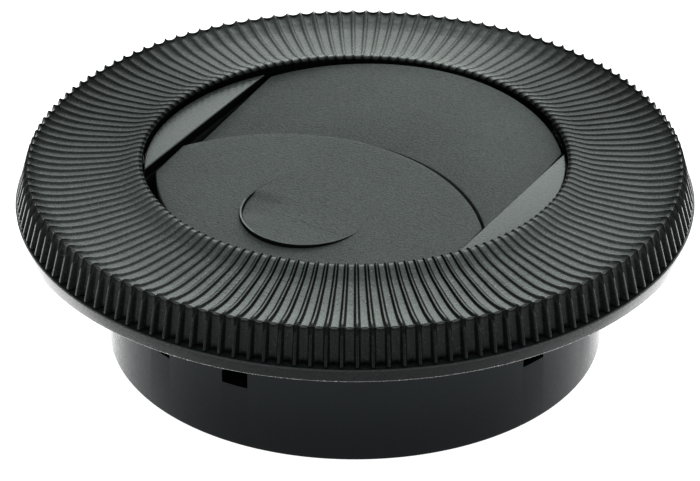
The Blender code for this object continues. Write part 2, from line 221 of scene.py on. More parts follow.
# ---- shader helpers -----------------------------------------------------------
class Tree:
    """Adds nodes to the node tree of a material or a world."""

    def __init__(self, owner):
        owner.use_nodes = True
        self.nodes = owner.node_tree.nodes
        self.links = owner.node_tree.links

    def feed(self, node, inputs):
        """Links each input to a socket, or sets it to a value."""
        for key, value in inputs.items():
            if isinstance(value, bpy.types.NodeSocket):
                self.links.new(value, node.inputs[key])
            else:
                node.inputs[key].default_value = value

    def add(self, kind, inputs=None, **settings):
        node = self.nodes.new("ShaderNode" + kind)
        for key, value in settings.items():
            setattr(node, key, value)
        self.feed(node, inputs or {})
        return node

    def math(self, operation, *values):
        return self.add("Math", dict(enumerate(values)), operation=operation).outputs[0]

    def vector_math(self, operation, *values):
        return self.add("VectorMath", dict(enumerate(values)), operation=operation)

    def vary(self, noise, spread, middle):
        """middle + spread * (noise - 0.5)"""
        return self.math("MULTIPLY_ADD", self.math("SUBTRACT", noise, 0.5), spread, middle)

    def one_minus(self, value):
        return self.math("SUBTRACT", 1.0, value)

    def mix(self, factor, a, b, blend="MIX"):
        node = self.add("Mix", data_type="RGBA", blend_type=blend)
        self.feed(node, {"Factor": factor, "A": a, "B": b})
        return node.outputs["Result"]

    def times_grey(self, colour, factor):
        """The colour with all its channels multiplied by one factor."""
        grey = self.add("CombineColor", {0: factor, 1: factor, 2: factor})
        return self.mix(1.0, colour, grey.outputs[0], blend="MULTIPLY")

    def map_range(self, value, from_range, to_range, interpolation="SMOOTHSTEP"):
        inputs = {"Value": value, "From Min": from_range[0], "From Max": from_range[1],
                  "To Min": to_range[0], "To Max": to_range[1]}
        return self.add("MapRange", inputs, interpolation_type=interpolation).outputs[0]

    def curve(self, value, stops):
        """Straight lines through (value, level) over -1 to 1, by a colour ramp.

        Gives the ramp's output, which is level / peak, and the peak."""
        ramp = self.add("ValToRGB")
        peak = max(level for _, level in stops)
        elements = ramp.color_ramp.elements
        while len(elements) < len(stops):
            elements.new(0.5)
        for element, (x, level) in zip(elements, stops):
            element.position = (x + 1) / 2
            element.color = (level / peak, level / peak, level / peak, 1.0)
        self.feed(ramp, {"Fac": self.math("MULTIPLY_ADD", value, 0.5, 0.5)})
        return ramp.outputs["Color"], peak

    def level_curve(self, value, stops):
        return self.math("MULTIPLY", *self.curve(value, stops))


def new_material(name):
    """The material, its tree and its Principled shader."""
    mat = bpy.data.materials.new(name)
    tree = Tree(mat)
    return mat, tree, tree.nodes["Principled BSDF"]


# ---- plastic ------------------------------------------------------------------
ROUGH_VARIATION = 0.06
SPARKLE_CELL, SPARKLE_REACH = 0.00026, 0.34     # metres; share of a cell that glints
FLUTE_RECESS_LOSS = 0.92                        # light lost to painted shade where the recess attribute is 1
FAR_SIDE_SHARE = 0.62                           # share of the walls' painted shade kept on the far side
# painted shade on the flutes' walls: how it grows as the view runs along them
HIDING_RANGE, HIDING_STRENGTH = (0.42, 0.95), (0.0, 0.97)
# painted sheen on the ring's top, its brightness by the view: (1 on the side nearest the eye to -1
# on the far side, factor)
TOP_PAINTED_SHEEN = [(-1.0, 1.14), (-0.91, 0.98), (-0.74, 0.38), (-0.42, 0.38), (-0.10, 0.66),
             (0.30, 0.84), (0.72, 1.05), (1.0, 1.50)]


def add_scuffs(tree, place, colour, base, amount):
    """Thin light streaks."""
    stretch = tree.add("Mapping", {"Scale": (60.0, 900.0, 300.0), "Rotation": (0.2, 0.1, 0.9),
                                   "Vector": place})
    streak = tree.add("TexNoise", {"Vector": stretch.outputs[0], "Scale": 1.0, "Detail": 2.0})
    mask = tree.map_range(streak.outputs["Fac"], from_range=(0.66, 0.80),
                          to_range=(0.0, amount), interpolation="LINEAR")
    lighter = [min(1.0, channel * 2.2 + 0.02) for channel in base]
    return tree.mix(mask, colour, (*lighter, 1.0))


def add_painted_glints(tree, place, colour, amount, glint_colour, glint_share):
    """Painted glints: bright specks in a share of small cells."""
    cells = tree.add("TexVoronoi", {"Scale": 1.0 / SPARKLE_CELL, "Vector": place})
    pick = tree.add("SeparateColor", {0: cells.outputs["Color"]})
    chosen = tree.math("GREATER_THAN", pick.outputs[0], 1.0 - glint_share)
    near = tree.math("LESS_THAN", cells.outputs["Distance"], SPARKLE_REACH)
    spark = tree.math("MULTIPLY", tree.math("MULTIPLY", chosen, near),
                      tree.math("MULTIPLY", pick.outputs[1], amount))
    return tree.mix(spark, colour, (*glint_colour, 1.0))


def flute_light(tree):
    """How much light the ring's flutes keep, from the mesh's attributes and the view."""
    def attribute(name):
        return tree.add("Attribute", attribute_name=name).outputs["Fac"]

    # painted shade: colour and gloss are darkened where the recess attribute is high
    keep = tree.math("MULTIPLY_ADD", attribute("recess"), -FLUTE_RECESS_LOSS, 1.0)
    # painted shade: seen along its length a narrow flute hides its own walls in shade, so they are
    # painted darker; seen across, they aren't
    walls = attribute("walls")
    geometry = tree.add("NewGeometry")
    level_directions = []
    for name in ("Position", "Incoming"):
        level = tree.vector_math("MULTIPLY", geometry.outputs[name], (1.0, 1.0, 0.0))
        unit = tree.vector_math("NORMALIZE", level.outputs[0])
        level_directions.append(unit.outputs[0])
    # 1 on the side nearest the eye, -1 on the far side
    toward = tree.vector_math("DOT_PRODUCT", *level_directions).outputs["Value"]
    along = tree.math("MAXIMUM", toward, tree.math("MULTIPLY", toward, -FAR_SIDE_SHARE))
    strength = tree.map_range(along, HIDING_RANGE, HIDING_STRENGTH)
    seen = tree.math("MULTIPLY_ADD", tree.math("MULTIPLY", walls, strength), -1.0, 1.0)
    keep = tree.math("MULTIPLY", keep, seen)
    # painted sheen: the top is painted brighter seen along the flutes and duller seen aslant
    gloss, peak = tree.curve(toward, TOP_PAINTED_SHEEN)
    change = tree.math("MULTIPLY_ADD", gloss, peak, -1.0)
    change = tree.math("MULTIPLY_ADD", change, attribute("top"), 1.0)
    return tree.math("MULTIPLY", keep, change)


def plastic(name, base, rough, grain=0.10, grain_size=0.00028, variation=0.10, specular=0.5,
            scuff=0.0, sparkle=0.0, glint_colour=(0.62, 0.64, 0.63), glint_share=0.20,
            height_shade=None, fluted=False):
    """Moulded plastic: mottled colour and a fine grain in the bump, gloss and roughness.

    grain is the bump's height as a share of grain_size (metres). The painted shade by height is a
    range of heights (metres) and the range of brightness over it."""
    mat, tree, shader = new_material(name)
    place = tree.add("TexCoord").outputs["Object"]

    def noise(scale, detail, roughness):
        return tree.add("TexNoise", {"Scale": scale, "Detail": detail, "Roughness": roughness,
                                     "Vector": place}).outputs["Fac"]

    broad = noise(scale=55.0, detail=3.0, roughness=0.6)
    fine = noise(scale=1.0 / grain_size, detail=4.0, roughness=0.7)
    speck = noise(scale=0.45 / grain_size, detail=2.0, roughness=0.5)
    mottle = tree.math("MULTIPLY", tree.vary(broad, spread=variation * 2.0, middle=1.0),
                       tree.vary(fine, spread=variation * 2.6, middle=1.0))
    colour = tree.times_grey((*base, 1.0), mottle)
    if scuff > 0:
        colour = add_scuffs(tree, place, colour, base, scuff)
    # painted glints in the colour
    if sparkle > 0:
        colour = add_painted_glints(tree, place, colour, sparkle, glint_colour, glint_share)
    # painted shade by height
    if height_shade:
        height = tree.add("SeparateXYZ", {0: place}).outputs["Z"]
        colour = tree.times_grey(colour, tree.map_range(height, *height_shade))
    gloss = tree.vary(fine, spread=variation * 9.0 * specular, middle=specular)
    # the ring's painted shade and painted sheen, multiplied into colour and gloss
    if fluted:
        keep = flute_light(tree)
        colour = tree.times_grey(colour, keep)
        gloss = tree.math("MULTIPLY", keep, gloss)
    roughness = tree.vary(speck, spread=ROUGH_VARIATION * 2.0, middle=rough)
    bump = tree.add("Bump", {"Strength": 1.0, "Distance": grain * grain_size, "Height": fine})
    tree.feed(shader, {"Base Color": colour, "Roughness": roughness,
                       "Normal": bump.outputs["Normal"],
                       "Specular IOR Level": tree.math("MAXIMUM", gloss, 0.0)})
    mat.diffuse_color = (*base, 1.0)
    return mat


def brushed_steel(name):
    """Steel with its grain drawn out along X."""
    mat, tree, shader = new_material(name)
    place = tree.add("TexCoord").outputs["Object"]
    stretch = tree.add("Mapping", {"Scale": (120.0, 4000.0, 4000.0), "Vector": place})
    grain = tree.add("TexNoise", {"Scale": 1.0, "Detail": 3.0,
                                  "Vector": stretch.outputs[0]}).outputs["Fac"]
    ramp = tree.add("ValToRGB", {"Fac": grain})
    ramp.color_ramp.elements[0].color = (0.38, 0.38, 0.39, 1)
    ramp.color_ramp.elements[1].color = (0.66, 0.66, 0.67, 1)
    rough = tree.map_range(grain, from_range=(0.0, 1.0), to_range=(0.22, 0.42),
                           interpolation="LINEAR")
    bump = tree.add("Bump", {"Distance": 0.00001, "Height": grain})
    tree.feed(shader, {"Base Color": ramp.outputs["Color"], "Roughness": rough,
                       "Normal": bump.outputs["Normal"], "Metallic": 1.0})
    return mat


# ---- the materials ------------------------------------------------------------
LEAF_MAT = plastic("leaf_grained", base=(0.068, 0.078, 0.074), rough=0.50, grain=0.60,
                   grain_size=0.00038, variation=0.34, scuff=0.06, sparkle=0.10)
RING_MAT = plastic("ring_satin", base=(0.050, 0.057, 0.054), rough=0.285, grain=0.14,
                   variation=0.24, scuff=0.10, fluted=True, sparkle=0.35)
# one smooth plastic twice: the right cover is painted lighter than the left, as a lit and a shaded
# copy
LEFT_COVER_MAT = plastic("cover_smooth", base=(0.058, 0.066, 0.063), rough=0.28,
                         variation=0.09)
RIGHT_COVER_LIT_MAT = plastic("cover_smooth_right_painted_lit", base=(0.094, 0.107, 0.102), rough=0.28,
                          variation=0.09)
# painted shade: the tube is painted darker towards the bottom
TUBE_MAT = plastic("tube_satin", base=(0.040, 0.044, 0.048), rough=0.28, grain=0.04,
                   variation=0.06, specular=0.012, scuff=0.04,
                   height_shade=((0.001, 0.019), (0.66, 1.28)))
# the flange's faces, its rough edges, and whatever lies inside the tube: the upper edge painted
# lighter as a highlight, the lower edge with painted glints, the inside painted black as shade
LIP_MAT = plastic("lip_gloss", base=(0.020, 0.023, 0.024), rough=0.12, grain=0.004,
                  variation=0.30, scuff=0.15)
# the flange's upper edge: rough, and painted lighter as an edge highlight
LIP_EDGE_LIGHTER_MAT = plastic("lip_edge_dull_painted_highlight", base=(0.06, 0.065, 0.065), rough=0.40, grain=0.30,
                       variation=0.40, specular=0.3)
# the flange's lower edge: rough, with painted white glints
LIP_LOW_GLINT_MAT = plastic("lip_edge_rough_painted_glints", base=(0.05, 0.055, 0.055), rough=0.40, grain=0.30,
                      variation=0.60, specular=0.4, sparkle=1.0,
                      glint_colour=(1.0, 1.0, 1.0), glint_share=0.38)
# painted shade: near black for the tube's bore, the window cuts and the covers' sides and tabs
SHADE_BLACK_MAT = plastic("painted_shade_black", base=(0.0035, 0.0038, 0.0038), rough=0.60,
                     variation=0.20, specular=0.02)
# painted shade: near black for leaf faces that lie in shade
LEAF_SHADE_MAT = plastic("leaf_painted_shade", base=(0.008, 0.009, 0.009), rough=0.60, grain=0.30,
                        variation=0.20, specular=0.04)
# painted highlight on the top edge of the pad's rim
LEAF_RIM_HIGHLIGHT_MAT = plastic("leaf_rim_painted_highlight", base=(0.13, 0.145, 0.14), rough=0.35, grain=0.20,
                       variation=0.30)
CARRIER_MAT = plastic("carrier_black", base=(0.010, 0.011, 0.011), rough=0.55, grain=0.08)
CRANK_MAT = plastic("crank_black", base=(0.028, 0.030, 0.032), rough=0.42, grain=0.05,
                    variation=0.08)
STEEL_MAT = brushed_steel("steel_drawn")


def paint(obj, mat):
    obj.data.materials.clear()
    obj.data.materials.append(mat)


# ---- fluted ring --------------------------------------------------------------
RING_SIDE_R = 52.12                             # crests at the top of the outer side
RING_ROUND = 0.5                                # rounding of the outer corner
FOOT_FLUTE, SIDE_FLUTE_LOSS = 1.45, 0.60        # side flute's depth, and its loss by the top
# crest line of the dished top: (radius, height above RING_TOP)
TOP_LINE = [(34.3, 0.22), (35.0, 0.10), (35.9, -0.24), (37.4, -0.68), (39.0, -0.92),
            (40.6, -1.05), (42.1, -1.15), (43.7, -1.24), (45.2, -1.26), (46.8, -1.20),
            (48.4, -0.98), (49.9, -0.66), (51.2, -0.22)]
# depth of the flutes in the top: (radius, depth)
TOP_DEPTH = [(34.3, 0.22), (35.5, 0.22), (37.5, 0.23), (45.0, 0.26), (49.5, 0.38), (51.2, 0.62)]
# down the bore, out along the underside and down to the foot:
# (radius, height, flute depth along r, flute depth along z)
INNER_ROWS = [
    (34.0, RING_TOP + 0.22, 0.0, -0.36),
    (33.82, RING_TOP + 0.12, 0.0, -0.30),
    (33.72, RING_TOP - 0.02, 0.0, -0.24),
    (RING_BORE_R, RING_TOP - 0.30, 0.0, -0.12),
    (RING_BORE_R, RING_TOP - 1.2, 0.0, 0.0),
    (RING_BORE_R, RING_UNDER_Z + 0.15, 0, 0),
    (RING_BORE_R + 0.15, RING_UNDER_Z, 0, 0),
    (42.0, RING_UNDER_Z, 0, 0),
    (49.6, RING_UNDER_Z, 0, 0),
    (50.0, RING_UNDER_Z - 0.3, 0, 0),
    (50.9, RING_FOOT_Z + 0.1, 0, 0),
    (51.0, RING_FOOT_Z, 0, 0)]
# half width of the crest and place of the wall's foot, as shares of the pitch
SIDE_CREST, SIDE_WALL = 0.062, 0.215
TOP_CREST, TOP_WALL, TOP_WALL_SHADE = 0.040, 0.235, 0.262
# vertices across half a pitch, from the crest outwards
HALF_STEPS = np.array([0.0, 0.03, 0.05, 0.07, 0.095, 0.12, 0.145, 0.17, 0.20, 0.235, 0.28,
                       0.35, 0.42])


def ring_profile():
    """Rows as in INNER_ROWS: the crest line and how far a flute goes below it."""
    rows = [(RING_FOOT_R - 0.05, RING_FOOT_Z, -1.30, 0.0)]
    for s in np.linspace(0.02, 1, 14):                 # up the outer side
        rows.append((RING_FOOT_R + (RING_SIDE_R - RING_FOOT_R) * s,
                     RING_FOOT_Z + (RING_TOP - 0.55 - RING_FOOT_Z) * s,
                     -(FOOT_FLUTE - SIDE_FLUTE_LOSS * s), 0.0))
    for degrees in np.linspace(12, 78, 6):             # over the outer corner
        turn = math.radians(degrees)
        rows.append((RING_SIDE_R - RING_ROUND + RING_ROUND * math.cos(turn),
                     RING_TOP - 0.57 + RING_ROUND * math.sin(turn),
                     -0.85 * math.cos(turn) ** 2, -0.66 * math.sin(turn) ** 2))
    for r in np.linspace(51.2, 34.3, 44):              # across the dished top
        rows.append((r, RING_TOP + interpolate(r, TOP_LINE), 0.0, -interpolate(r, TOP_DEPTH)))
    return np.array(rows + INNER_ROWS, float)


def hollow(offset):
    """0 to 1: a round hollow between sharp crests, as at the ring's outer corner."""
    u = np.clip((0.5 - np.abs(offset)) / 0.486, 0.0, 1.0)
    return (1.0 - u ** 2) ** 0.62


def groove(offset, crest, wall):
    """0 to 1: a narrow flat crest, filleted walls and a nearly flat floor."""
    offset = np.abs(offset)
    fillet = smoothstep((offset - crest) / (wall - crest))
    bowl = 1.0 - ((0.5 - np.clip(offset, wall, 0.5)) / (0.5 - wall)) ** 2
    return fillet * (0.88 + 0.12 * bowl)


def wall_shade(offset, crest, wall):
    """1 on the walls, 0 on the floor and on the crest."""
    offset = np.abs(offset)
    return (smoothstep((offset - crest * 0.9) / 0.03)
            * (1 - smoothstep((offset - wall + 0.03) / 0.06)))


def ring_painted_shade(r, z, on_side, offset, depth):
    """Painted shade, 0 to 1, by how shut in each point is: by the crests, at the flutes' feet, and
    wholly in the bore and underneath. The whole outer side, the crests and the inner lip are painted
    darker as well."""
    recess = np.where(on_side[None, :], 0.46 + 0.28 * (np.abs(offset) < 0.06),
                      0.30 * (np.abs(offset) < 0.04))
    foot = np.where(on_side, 1 - smoothstep((z - RING_FOOT_Z - 0.15) / 0.9), 0.0)
    collar = np.where(on_side, smoothstep((z - 29.9) / 0.5)
                      * (1 - smoothstep((z - 31.05) / 0.25)), 0.0)
    recess = np.maximum(recess, depth * np.maximum(foot, 0.80 * collar)[None, :])
    tips = smoothstep((r - 50.4) / 0.7) * (z > 30.2)   # crests at the outer corner
    recess = np.maximum(recess, (1 - depth) * 0.84 * tips[None, :])
    inner_lip = np.where((r < 34.25) & (z > 31.0), 0.78, 0.0)
    recess = np.maximum(recess, inner_lip[None, :])
    in_bore = r < RING_BORE_R + 0.01
    underneath = (z <= RING_UNDER_Z + 0.2) & (r < 51.1)
    return np.maximum(recess, np.where(in_bore | underneath, 1.0, 0.0)[None, :])


def add_attribute(obj, name, values):
    attribute = obj.data.attributes.new(name, "FLOAT", "POINT")
    attribute.data.foreach_set("value", values.ravel())


def build_ring():
    r, z, depth_r, depth_z = ring_profile().T
    # one pitch is -0.5 to 0.5, with the crest at 0
    across = np.concatenate([[-0.5], -HALF_STEPS[:0:-1], HALF_STEPS])
    angles = ((np.arange(RIB_COUNT)[:, None] + across[None, :]) * 2 * math.pi
              / RIB_COUNT).ravel()
    offset = np.tile(across, RIB_COUNT)[:, None]
    on_side = r > 51.95
    # flat-floored grooves turn to round hollows towards the outer corner
    corner = np.where(on_side, smoothstep((z - 29.4) / 1.2),
                      smoothstep((r - 49.6) / 1.4)) * (z > RING_UNDER_Z + 0.5)
    straight = np.where(on_side[None, :], groove(offset, SIDE_CREST, SIDE_WALL),
                        groove(offset, TOP_CREST, TOP_WALL))
    depth = straight + (hollow(offset) - straight) * corner[None, :]
    radius = r[None, :] + depth * depth_r[None, :]
    height = z[None, :] + depth * depth_z[None, :]
    verts = np.stack([radius * np.cos(angles)[:, None], radius * np.sin(angles)[:, None],
                      height], -1)
    ring = mesh_object("ribbed_ring_fluted", verts.reshape(-1, 3),
                       grid_faces(len(angles), len(r), True, True))
    shade(ring.data, angle=60)
    fix_normals(ring)

    # painted shade on the flutes' walls, stored as the walls attribute
    walls = np.where(on_side[None, :], 0.60 * wall_shade(offset, SIDE_CREST, SIDE_WALL),
                     wall_shade(offset, TOP_CREST, TOP_WALL_SHADE))
    add_attribute(ring, "walls", walls)
    # the painted sheen is for the top only, not the outer side
    top = np.where(on_side, 0.0, 1.0)
    add_attribute(ring, "top", np.repeat(top[None, :], len(angles), 0))
    # painted shade in the recesses, on the crests and outer side, in the bore and underneath
    add_attribute(ring, "recess", ring_painted_shade(r, z, on_side, offset, depth))
    paint(ring, RING_MAT)
    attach(ring, "rotor")
    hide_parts("ribbed_ring")


build_ring()

# ---- housing ------------------------------------------------------------------
# corners of the turned section: (radius, height, rounding)
HOUSING_CORNERS = [
    (FLANGE_R, FLANGE_Z1, 0.22),
    (FLANGE_R, FLANGE_Z0, 0.22),
    (TUBE_R, FLANGE_Z0, 0.35),
    (TUBE_R, 0.0, 0.45),
    (TUBE_BORE_R, 0.0, 0.25),
    (TUBE_BORE_R, CATCH_Z0 - 1.2, 0.2),
    (CATCH_R, CATCH_Z0, 0.2),
    (CATCH_R, CATCH_Z1, 0.2),
    (TUBE_BORE_R, CATCH_Z1, 0.2),
    (TUBE_BORE_R, FLANGE_Z1, 0.3)]
WINDOW_OVERCUT = 3                              # cutter past the tube wall, each way
FLANGE_PAINT_R = 40.2                           # faces beyond this are the flange's
FLANGE_MIDDLE_Z = 24.0                          # parts the upper edge from the lower
TUBE_FACES, LIP_FACES, EDGE_FACES, HOLLOW_FACES, LOW_EDGE_FACES = range(5)


def housing_face_kind(middle):
    r = math.hypot(middle.x, middle.y)
    if r > FLANGE_PAINT_R:
        if r > FLANGE_R - 0.20 and not FLANGE_Z0 + 0.21 < middle.z < FLANGE_Z1 - 0.21:
            return EDGE_FACES if middle.z > FLANGE_MIDDLE_Z else LOW_EDGE_FACES
        return LIP_FACES
    in_window = r < TUBE_R - 0.02 and WINDOW_Z0 - 0.1 < middle.z < WINDOW_Z1 + 0.1
    return HOLLOW_FACES if r < TUBE_BORE_R + 0.02 or in_window else TUBE_FACES


def build_housing():
    housing = revolve("housing_turned", rounded(HOUSING_CORNERS), steps=360)
    windows = bmesh.new()
    for first in WINDOW_ANGLES:
        for angle in (first, first + 180.0):
            add_box(windows, (TUBE_BORE_R - WINDOW_OVERCUT, -WINDOW_W / 2, WINDOW_Z0),
                    (TUBE_R + WINDOW_OVERCUT, WINDOW_W / 2, WINDOW_Z1), turned(angle))
    cut(housing, bm_object("windows", windows, smooth=False))
    shade(housing.data, angle=30)
    housing.data.materials.clear()
    for mat in (TUBE_MAT, LIP_MAT, LIP_EDGE_LIGHTER_MAT, SHADE_BLACK_MAT, LIP_LOW_GLINT_MAT):
        housing.data.materials.append(mat)
    # the bore and window cuts get the black painted shade, the flange's edges the painted highlight
    # and glints
    for face in housing.data.polygons:
        kind = housing_face_kind(face.center / MM)
        if kind != TUBE_FACES:
            face.material_index = kind
    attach(housing, "base")
    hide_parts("housing")


build_housing()

# ---- flat segment covers ------------------------------------------------------
COVER_BEVEL = 0.18
COVER_SKIN = 0.30                               # faces deeper than this below the cover's top are painted black as shade
TAB_X0, TAB_X1, TAB_Z0 = 29.6, 30.7, 26.4
TAB_Y, TAB_HALF_W = 5.5, 2.5                    # two tabs under each cover
TAB_OVERLAP = 0.6                               # tab's reach into the plate


def build_cover(side, turn, mat):
    """A circle segment beyond the chord on +X, turned into place."""
    half = math.acos(CHORD_X / COVER_R)
    plate = prism(arc(0, COVER_R, -half, half, 64), COVER_Z0, COVER_Z1)
    bmesh.ops.transform(plate, matrix=turned(turn), verts=plate.verts)
    cover = bm_object(side + "_cover_plate", plate)
    bevel(cover, COVER_BEVEL)
    tabs = bmesh.new()
    for y in (-TAB_Y, TAB_Y):
        add_box(tabs, (TAB_X0, y - TAB_HALF_W, TAB_Z0),
                (TAB_X1, y + TAB_HALF_W, COVER_Z0 + TAB_OVERLAP), turned(turn))
    cut(cover, bm_object("tabs", tabs, smooth=False), "UNION")
    paint(cover, mat)
    cover.data.materials.append(SHADE_BLACK_MAT)
    # the cover's sides and tabs below the skin are painted black as shade
    for face in cover.data.polygons:
        if face.center.z / MM < COVER_Z1 - COVER_SKIN:
            face.material_index = 1
    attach(cover, "rotor")
    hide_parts(side + "_cover")


build_cover("left", 180.0, LEFT_COVER_MAT)
build_cover("right", 0.0, RIGHT_COVER_LIT_MAT)

# ---- leaves -------------------------------------------------------------------
END_KNUCKLE_W, MID_KNUCKLE_HALF_W = 4.5, 3.0
BORE_HALF_LENGTH = 40
PAD_GRID_R = PAD_R - 0.9                        # the vertices are closer from here out
PAD_OUTER_R = PAD_R + 0.3                       # level plate from here out
# the pad's floor: (distance forward of its centre, height)
PAD_FLOOR = [(-PAD_R, 0.0), (0.0, -0.04), (4.0, 0.12), (8.4, 0.46), (PAD_R, 0.62)]
LEFT_DIP = 0.34                                 # how far the floor sinks at the left
# height of the pad's rim: (direction in degrees with -90 the front, height)
PAD_RIM = [(-180, 0.08), (-160, 0.26), (-140, 0.48), (-120, 0.66), (-90, 0.70), (-60, 0.54),
           (-40, 0.36), (-15, 0.08), (10, 0.0), (165, 0.0), (176, 0.05), (180, 0.08)]
# two hair lines across the pad: (slope, distance behind its centre, height)
FAINT_LINES = ((-0.10, -2.7, 0.030), (-0.05, -6.8, 0.026))
FAINT_LINE_W = 0.13


def add_knuckles(leaf, half_x):
    """Barrels for the pivot rod, joined under the plate, and the rod's hole."""
    barrels = bmesh.new()
    for x0, x1 in ((-half_x, -half_x + END_KNUCKLE_W),
                   (-MID_KNUCKLE_HALF_W, MID_KNUCKLE_HALF_W),
                   (half_x - END_KNUCKLE_W, half_x)):
        add_cylinder(barrels, KNUCKLE_R, x0, x1)
    cut(leaf, bm_object("barrels", barrels), "UNION")
    bore = add_cylinder(bmesh.new(), HOLE_R, -BORE_HALF_LENGTH, BORE_HALF_LENGTH)
    cut(leaf, bm_object("bore", bore))


def paint_leaf(leaf, has_pad):
    """Grained on top; the straight sides, shut in between the covers, are painted dark as shade, and
    so are the walls of the pad's rim; the rim's top edge at the front left is painted bright as a
    highlight."""
    paint(leaf, LEAF_MAT)
    leaf.data.materials.append(LEAF_SHADE_MAT)
    leaf.data.materials.append(LEAF_RIM_HIGHLIGHT_MAT)
    for face in leaf.data.polygons:
        middle = face.center / MM
        r = math.hypot(middle.x, middle.y - PAD_Y)
        turn = math.degrees(math.atan2(middle.y - PAD_Y, middle.x))
        # painted shade on the straight sides and on the walls of the pad's rim
        if middle.z < LEAF_TOP - 0.22 and abs(face.normal.x) > 0.8:
            face.material_index = 1
        elif has_pad and PAD_R - 0.7 < r < PAD_R + 0.1 and middle.z > LEAF_TOP - 0.3:
            if face.normal.z < 0.80:
                face.material_index = 1
            # painted highlight on the rim's top edge at the front left
            elif PAD_R - 0.42 < r < PAD_R - 0.08 and -172 < turn < -112:
                face.material_index = 2


def finish_leaf(leaf, half_x, pivot_y, node_name, has_pad=False):
    """Completes a leaf made level with its pivot at the origin, and tilts it into place."""
    add_knuckles(leaf, half_x)
    paint_leaf(leaf, has_pad)
    leaf.data.transform(Matrix.Translation(Vector((0, pivot_y, PIVOT_Z)) * MM)
                        @ Matrix.Rotation(math.radians(REST_TILT), 4, "X"))
    shade(leaf.data, angle=35)
    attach(leaf, node_name)
    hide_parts(node_name)


def pad_height(x, y):
    """Height of the front leaf's top above its plate; x and y are from the pad's centre."""
    r = np.hypot(x, y)
    turn = np.degrees(np.arctan2(y, x))
    floor = interpolate(-y, PAD_FLOOR)
    left = (smoothstep((-x - 2.0) / 6.0) * smoothstep((7.5 + y) / 4.0)
            * smoothstep((2.2 - y) / 3.2))
    floor = floor - LEFT_DIP * left
    for slope, start, height in FAINT_LINES:
        away = (y - start - slope * x) / math.hypot(1.0, slope)
        floor = floor + height * np.exp(-(away / FAINT_LINE_W) ** 2) * (r < PAD_GRID_R)
    rim = interpolate(turn, PAD_RIM)
    lip = smoothstep((r - PAD_R + 0.62) / 0.20)        # floor to rim
    fall = 1 - smoothstep((r - PAD_R + 0.14) / 0.14)   # rim to plate
    tip = 0.05 * smoothstep((r - PAD_R + 0.45) / 0.30)     # the rim's top rises outwards
    inside = (floor * (1 - lip)
              + np.maximum(rim + tip - 0.05, floor * (r < PAD_R - 0.3)) * lip)
    return np.where(r <= PAD_R - 0.2, inside, np.maximum(rim, 0.0)) * fall


def front_leaf_lens():
    """One closed surface: rings of points round the pad's centre, going out over the top,
    round the edge and back under."""
    arcs = ((*FRONT_REAR_ARC, 1), (*FRONT_FRONT_ARC, -1))
    corners = [math.atan2(centre + end * math.sqrt(radius * radius - FRONT_HALF_X ** 2) - PAD_Y,
                          x_sign * FRONT_HALF_X)
               for x_sign in (-1, 1) for centre, radius, end in arcs]
    turns = np.unique(np.concatenate([np.linspace(-math.pi, math.pi, 720, endpoint=False),
                                      corners]))
    dx, dy = np.cos(turns), np.sin(turns)

    def reach(inset):
        """Distance from the pad's centre to the outline moved in by inset."""
        nearest = np.full(len(turns), 1e9)
        for centre, radius, _ in arcs:
            pad_y = PAD_Y - centre
            b = pad_y * dy
            c = pad_y * pad_y - (radius - inset) ** 2
            nearest = np.minimum(nearest, -b + np.sqrt(b * b - c))
        with np.errstate(divide="ignore", invalid="ignore"):
            side = (FRONT_HALF_X - inset) / np.abs(dx)
        return np.minimum(nearest, np.where(np.abs(dx) > 1e-9, side, 1e9))

    rings = []

    def add_ring(r, z):
        rings.append(np.stack([r * dx, PAD_Y + r * dy, np.full(len(turns), z)], -1))

    for r in np.concatenate([np.linspace(0.3, PAD_R - 1.0, 84),
                             np.linspace(PAD_GRID_R, PAD_OUTER_R, 44)]):
        x, y = r * dx, PAD_Y + r * dy
        rings.append(np.stack([x, y, LEAF_TOP + pad_height(x, y - PAD_Y)], -1))
    limit = reach(LEAF_EDGE)
    for s in np.linspace(0.1, 1.0, 10):                # over the level plate
        add_ring(PAD_R + 0.3 + (limit - PAD_R - 0.3) * s, LEAF_TOP)
    for turn in np.radians([20, 40, 60, 90]):          # round the upper edge
        add_ring(reach(LEAF_EDGE * (1 - math.sin(turn))),
                 LEAF_TOP - LEAF_EDGE * (1 - math.cos(turn)))
    low = LEAF_TOP - LEAF_T
    add_ring(reach(0), low + 0.2)
    add_ring(reach(0.2), low)

    ring_size, ring_count = len(turns), len(rings)
    centres = np.array([[0.0, PAD_Y, LEAF_TOP + float(pad_height(0.0, 0.0))],
                        [0.0, PAD_Y, low]])
    top_centre = ring_size * ring_count
    faces = grid_faces(ring_count, ring_size, False, True)
    faces += [(j, (j + 1) % ring_size, top_centre) for j in range(ring_size)]
    last = (ring_count - 1) * ring_size
    faces += [((j + 1) % ring_size + last, j + last, top_centre + 1) for j in range(ring_size)]
    leaf = mesh_object("front_leaf_lens", np.concatenate(rings + [centres]), faces)
    shade(leaf.data, angle=40)
    fix_normals(leaf)
    return leaf


def rear_leaf_plate():
    def edge(centre, radius):
        """The rearward arc of a circle, between the two straight sides."""
        start = math.acos(REAR_HALF_X / radius)
        return arc(centre, radius, start, math.pi - start, 120)

    outline = edge(*REAR_REAR_ARC) + edge(*REAR_FRONT_ARC)[::-1]
    leaf = bm_object("rear_leaf_plate", prism(outline, LEAF_TOP - LEAF_T, LEAF_TOP))
    bevel(leaf, LEAF_EDGE)
    return leaf


finish_leaf(front_leaf_lens(), FRONT_HALF_X, -PIVOT_Y, "front_leaf", has_pad=True)
finish_leaf(rear_leaf_plate(), REAR_HALF_X, PIVOT_Y, "rear_leaf")

